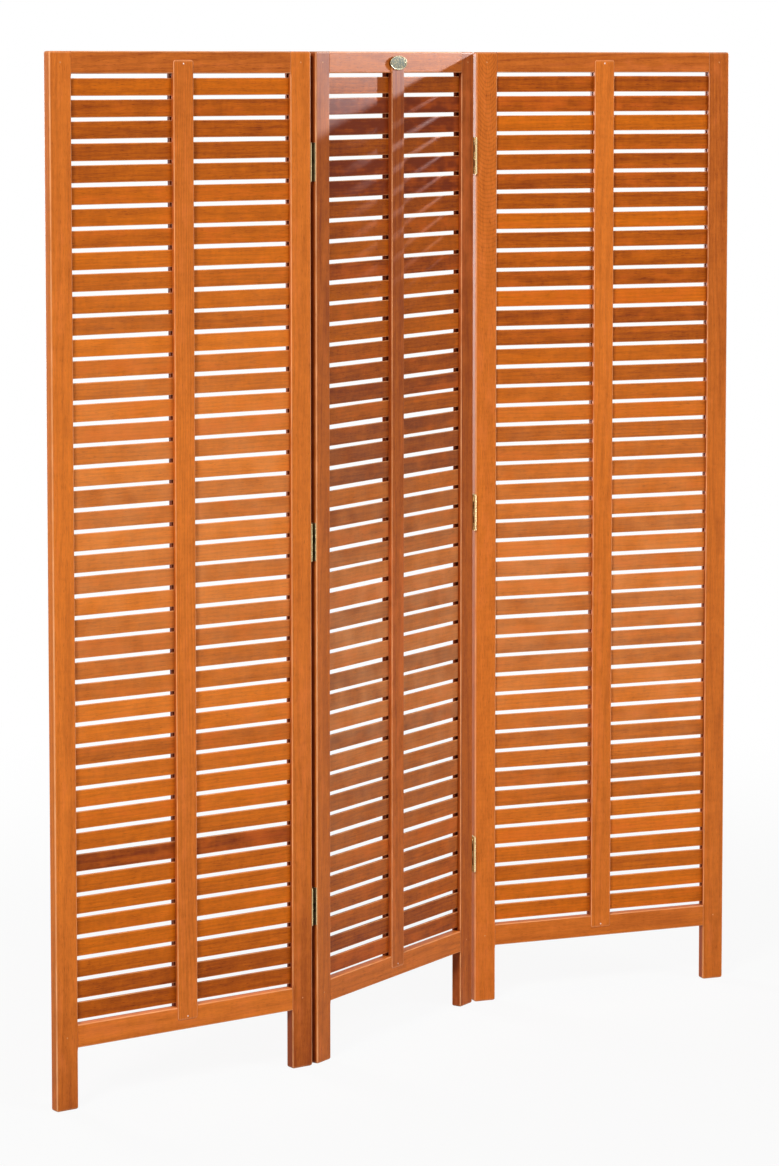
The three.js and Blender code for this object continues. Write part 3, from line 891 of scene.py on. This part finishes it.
def carve(piece, cutter):
    cut = piece.modifiers.new("holes", "BOOLEAN")
    cut.operation = "DIFFERENCE"
    cut.solver = "EXACT"
    cut.object = cutter
    piece.modifiers.move(len(piece.modifiers) - 1, 0)
    weighted = piece.modifiers["even_faces"]
    weighted.show_viewport = False
    bpy.context.view_layer.update()
    carved = piece.evaluated_get(bpy.context.evaluated_depsgraph_get())
    mesh = bpy.data.meshes.new_from_object(carved)
    mesh.name = piece.name
    piece.modifiers.remove(cut)
    weighted.show_viewport = True
    piece.data = mesh
    bpy.data.objects.remove(cutter)
    mesh.shade_smooth()
    mesh.set_sharp_from_angle(angle=math.radians(hingeSizes["sharpAngle"]))


# The middles ("center") or directions ("normal") of a mesh's faces.
def faceRows(mesh, what):
    rows = np.zeros(len(mesh.polygons) * 3)
    mesh.polygons.foreach_get(what, rows)
    return rows.reshape(-1, 3)


# Painted shade: the flats of a leaf take a near-black metal that stands for the shade deep in the
# fold: faces that look across the fold and lie clear of the barrel.
def paintShadeOnFlats(leaf, axis, heading):
    mesh = leaf.data
    mesh.materials.append(finishes["leaf"])
    across = np.array([math.cos(heading), math.sin(heading), 0.0])
    through = np.array([-math.sin(heading), math.cos(heading), 0.0])
    barrelReach = 1.2 * hingeSizes["clear"] * mm
    squareOn = 0.8  # least cosine of a face that looks across the fold
    clear = np.abs((faceRows(mesh, "center") - axis) @ through) > barrelReach
    flat = np.abs(faceRows(mesh, "normal") @ across) > squareOn
    mesh.polygons.foreach_set("material_index", (clear & flat).astype(np.int32))
    mesh.update()


# Shells drawn about a hinge's axis, in mm, made one piece that turns with its panel.
def hingePiece(label, shellList, axis, heading):
    points, faces = joinShells([shell * mm for shell in shellList])
    points = stand(points, axis[0], axis[1], heading, axis[2])
    return newPiece(label, points, faces, finishes["hinge"], hingeSizes["sharpAngle"])


def makeHinge(fold, tier, leftPanel, rightPanel, face):
    sizes = hingeSizes
    name = "_".join([fold, tier, "hinge"])
    axis = nodeMiddle(name + "_pin")
    screwY = -face * sizes["screwFrom"]
    screwHeights = (-sizes["screwSpacing"], 0.0, sizes["screwSpacing"])
    for sideName, side, panel in (("left", -1, leftPanel), ("right", 1, rightPanel)):
        heading = places[panel][2]
        label = name + "_" + sideName
        node = label + "_leaf"
        # only the plate is carved: the knuckles are a piece of their own
        leaf = hingePiece(label + "_half", [leafPlate(side, face)], axis, heading)
        holes = [countersink(side, screwY, z) for z in screwHeights]
        carve(leaf, hingePiece("countersinks", holes, axis, heading))
        paintShadeOnFlats(leaf, axis, heading)
        settle(leaf, panel, "hinge_brass", node)
        rolled = 0 if side > 0 else 1
        knuckles = [knuckle(side, face, n) for n in range(rolled, sizes["knuckles"], 2)]
        barrel = hingePiece(label + "_knuckles", knuckles, axis, heading)
        settle(barrel, panel, "hinge_brass", node)
        heads = [screwHead(side, screwY, z, saw.uniform(0, math.pi)) for z in screwHeights]
        screws = hingePiece(label + "_screws", heads, axis, heading)
        settle(screws, panel, "hinge_brass")
    end = sizes["height"] / 2 + 0.1
    r, head, crown = sizes["pin"], sizes["pinHead"], sizes["pinCrown"]
    top = [(end - 0.02, r), (end, head * 0.97), (end + 0.25 * crown, head),
           (end + 0.65 * crown, head * 0.8), (end + 0.93 * crown, head * 0.42),
           (end + crown, 0.0)]
    profile = [(-distance, radius) for distance, radius in reversed(top)] + top
    run, out, up = turned(profile, 24)
    points, faces = joinShells([np.stack([out, up, run], axis=-1)])
    heading = places["middle_panel"][2]
    points = stand(points, axis[0], axis[1], heading, axis[2])
    pin = newPiece(name + "_rivet_pin", points, faces, finishes["hinge"], 50.0)
    settle(pin, "middle_panel", "hinge_brass", name + "_pin")


for tier in ("top", "middle", "bottom"):
    makeHinge("left_fold", tier, "left_panel", "middle_panel", 1)
    makeHinge("right_fold", tier, "middle_panel", "right_panel", -1)
print("hinges made")


# Name plate: an oval with a beaded, scalloped rim and a bare, faintly crowned field

plateSizes = {
    "halfWidth": 26.5, "halfHeight": 12.25, "drop": 0.019, "back": 0.0108, "scallops": 20,
    "scallopDepth": 0.5, "field": 0.70, "crown": 0.12, "rim": 1.8, "bead": 0.40,
    "line": 2.7, "lineWidth": 0.18, "lineDepth": 0.10, "rimDip": 0.16,
    "steps": 320, "pinInset": 4.2, "pinHead": 1.3, "pinShank": 0.6, "pinHigh": 0.7,
}


# Rings of an oval, each drawn in from the edge by an inset and standing at a height off the
# back: x = (a - inset) cos t, z = (b - inset) sin t, the edge dipping with cos(scallops t).
def makePlate():
    sizes = plateSizes
    a, b, rim = sizes["halfWidth"], sizes["halfHeight"], sizes["rim"]
    fieldInsets = np.array([b, 10.5, 8.5, 6.5, 5.0, 4.0, 3.2, 2.9, 2.7, 2.5, 2.3, rim])
    share = (fieldInsets - rim) / (b - rim)
    fieldHeights = sizes["field"] + sizes["crown"] * np.sin(share * math.pi / 2)
    # a fine line inside the rim
    line = np.exp(-((fieldInsets - sizes["line"]) / sizes["lineWidth"]) ** 2)
    fieldHeights = fieldHeights - line * sizes["lineDepth"]
    beadTurn = np.linspace(0.0, math.pi, 10)[1:]
    beadInsets = rim / 2 + rim / 2 * np.cos(beadTurn)
    beadHeights = sizes["field"] + sizes["bead"] * np.sin(beadTurn)
    insets = np.concatenate([fieldInsets, beadInsets, [0.0, 0.12, b]])
    heights = np.concatenate([fieldHeights, beadHeights, [0.12, 0.0, 0.0]])
    onBead = np.concatenate([0 * fieldInsets, np.sin(beadTurn) ** 0.5, [0.0, 0.0, 0.0]])
    t = np.arange(sizes["steps"]) * 2 * math.pi / sizes["steps"]
    wave = (1 - np.cos(sizes["scallops"] * t)) / 2
    weight = np.clip(1 - insets / rim, 0.0, 1.0)
    dip = sizes["scallopDepth"] * np.outer(weight, wave)
    inset = insets[:, None] + dip
    height = heights[:, None] - sizes["rimDip"] * np.outer(onBead, wave)
    points = np.stack([
        (a - inset) * np.cos(t), -height, (b - inset) * np.sin(t),
    ], axis=-1) * mm
    points = points + np.array([0.0, -sizes["back"], frameSizes["height"] - sizes["drop"]])
    shell, faces = joinShells([points])
    piece = newPiece("oval_plate", standPanel(shell, "middle_panel"), faces, finishes["plate"],
                     60.0)
    paintRim(piece, rim)
    settle(piece, "middle_panel", "plate_brass", "name_plate")


# The rim's faces take the brighter metal: those whose middles lie past the rim's inner edge.
def paintRim(piece, rim):
    sizes = plateSizes
    mesh = piece.data
    mesh.materials.append(finishes["rim"])
    x, y, heading = places["middle_panel"]
    plateMiddle = np.array([x, y, frameSizes["height"] - sizes["drop"]])
    middles = faceRows(mesh, "center") - plateMiddle
    along = (middles[:, 0] * math.cos(heading) + middles[:, 1] * math.sin(heading)) / mm
    up = middles[:, 2] / mm
    a, b = sizes["halfWidth"] - rim, sizes["halfHeight"] - rim
    outside = (along / a) ** 2 + (up / b) ** 2 > 1.0
    mesh.polygons.foreach_set("material_index", outside.astype(np.int32))
    mesh.update()


def makePlatePins():
    sizes = plateSizes
    under = -(sizes["back"] / mm + sizes["field"] + 0.1)
    head, shank, high = sizes["pinHead"], sizes["pinShank"], sizes["pinHigh"]
    profile = [
        (under - high, 0.0), (under - 0.93 * high, 0.4 * head), (under - 0.7 * high, 0.75 * head),
        (under - 0.35 * high, 0.96 * head), (under, head), (under + 0.02, shank),
        (-3.6, shank), (-3.0, 0.0),
    ]
    run, out, up = turned(profile, 24)
    for sideName, side in (("left", -1), ("right", 1)):
        x = side * (sizes["halfWidth"] - sizes["pinInset"]) * mm
        z = frameSizes["height"] - sizes["drop"]
        points, faces = joinShells([np.stack([x + out, run, z + up], axis=-1)])
        node = "name_plate_" + sideName + "_pin"
        piece = newPiece(node + "_dome", standPanel(points, "middle_panel"), faces,
                         finishes["rim"])
        settle(piece, "middle_panel", "plate_brass", node)


makePlate()
makePlatePins()
print("plate made")


# Floor, light and camera

stageLook = {
    "floorSize": 24.0, "floorColour": (0.52, 0.515, 0.51, 1.0), "ownLight": 0.92,
    "fadeFrom": 0.9, "fadeTo": 3.2, "skyForWood": 0.09,
}


# White where the camera, a gloss or a glass looks, and a plain pale surface for the rest.
def seenDirectly(finish):
    path = finish.add("LightPath", None, None, "Is Camera Ray").socket.node.outputs
    rays = [Wire(finish, path[name]) for name in
            ("Is Camera Ray", "Is Glossy Ray", "Is Transmission Ray")]
    return finish.maths("MINIMUM", rays[0] + rays[1] + rays[2], 1.0)


def makeFloor():
    reach = stageLook["floorSize"] / 2
    corners = np.array([[-reach, -reach, 0], [reach, -reach, 0], [reach, reach, 0],
                        [-reach, reach, 0]], float)
    mesh = bpy.data.meshes.new("studio_floor")
    mesh.from_pydata(corners.tolist(), [], [[0, 1, 2, 3]])
    floor = newObject("studio_floor", mesh)
    paint = newFinish("floor_paint")
    matt = paint.add("BsdfDiffuse", None, {"Color": stageLook["floorColour"]})
    glow = paint.add("Emission", None, {"Color": (1.0, 1.0, 1.0, 1.0), "Strength": 1.0})
    place = paint.add("TexCoord", None, None, "Object")
    away = paint.add("VectorMath", {"operation": "LENGTH"}, {0: place}, "Value")
    fade = paint.between(away, stageLook["fadeFrom"], stageLook["fadeTo"])
    share = seenDirectly(paint) * (stageLook["ownLight"] + fade * (1.0 - stageLook["ownLight"]))
    mesh.materials.append(paint.surface(paint.add("MixShader", None, {0: share, 1: matt, 2: glow})))


def makeSky():
    world = bpy.data.worlds.new("studio")
    bpy.context.scene.world = world
    sky = Finish(world)
    strength = stageLook["skyForWood"]
    strength = strength + seenDirectly(sky) * (1.0 - strength)
    light = sky.add("Background", None, {"Color": (1.0, 1.0, 1.0, 1.0), "Strength": strength})
    sky.add("OutputWorld", None, {"Surface": light})


# Soft boxes, by where they stand, what they face and how wide they are.
softBoxes = {
    "key": {"at": (-5.9, -3.2, 5.2), "to": (0.0, 0.0, 0.8), "size": (1.7, 1.7), "power": 480.0,
            "spread": 180.0},
    "fill": {"at": (2.1, -5.8, 5.6), "to": (0.0, 0.0, 0.8), "size": (2.6, 2.2), "power": 250.0,
             "spread": 180.0},
    "low": {"at": (2.9, -2.4, 0.30), "to": (0.1, 0.0, 0.25), "size": (1.6, 0.5), "power": 4.0,
            "spread": 70.0},
    "rear": {"at": (-0.3, 4.6, 1.6), "to": (0.0, 0.0, 0.9), "size": (1.4, 1.8), "power": 125.0,
             "spread": 150.0},
}
# A small hard lamp off to the right: it looks over the right panel and through its slats,
# and leaves the pale sheen at the top of the middle panel.
sheenLamp = {
    "bearing": 6.6, "rise": 10.4, "distance": 4.2, "radius": 0.055, "power": 1350.0,
    "colour": (0.86, 0.95, 1.0),
    "cone": 12.0, "blend": 1.0, "aim": (0.02, -0.01, 1.66),
}


def faceTo(lamp, at, to):
    direction = np.array(to, float) - np.array(at, float)
    ground = math.hypot(direction[0], direction[1])
    lamp.location = at
    lamp.rotation_euler = (
        math.atan2(ground, -direction[2]), 0.0, math.atan2(-direction[0], direction[1])
    )


def makeLamps():
    for name, box in softBoxes.items():
        light = bpy.data.lights.new(name + "_softbox", "AREA")
        light.shape = "RECTANGLE"
        light.size, light.size_y = box["size"]
        light.energy = box["power"]
        light.spread = math.radians(box["spread"])
        lamp = newObject(name + "_softbox", light)
        faceTo(lamp, box["at"], box["to"])
        lamp.visible_camera = False
    spot = sheenLamp
    bearing, rise = math.radians(spot["bearing"]), math.radians(spot["rise"])
    aim = np.array(spot["aim"])
    out = np.array([math.cos(bearing), math.sin(bearing), math.tan(rise)])
    light = bpy.data.lights.new("sheen_lamp", "SPOT")
    light.energy = spot["power"]
    light.color = spot["colour"]
    light.shadow_soft_size = spot["radius"]
    light.spot_size = math.radians(spot["cone"])
    light.spot_blend = spot["blend"]
    faceTo(newObject("sheen_lamp", light), tuple(aim + out * spot["distance"]), tuple(aim))


# The camera stands a little to the left at the height of the screen's top.
cameraPlace = {
    "at": (-3.9533, -5.0607, 1.6828), "turn": 37.99, "down": 4.91, "lens": 116.06,
    "shiftY": -0.17,
}


def makeCamera():
    data = bpy.data.cameras.new("camera")
    data.sensor_width = 36.0
    data.lens = cameraPlace["lens"]
    data.shift_y = cameraPlace["shiftY"]
    data.clip_end = 200.0
    camera = newObject("camera", data)
    camera.location = cameraPlace["at"]
    tilt = math.radians(90.0 - cameraPlace["down"])
    camera.rotation_euler = (tilt, 0.0, math.radians(-cameraPlace["turn"]))
    bpy.context.scene.camera = camera


makeFloor()
makeSky()
makeLamps()
makeCamera()
bpy.context.scene.view_settings.view_transform = "Standard"
print("stage made")
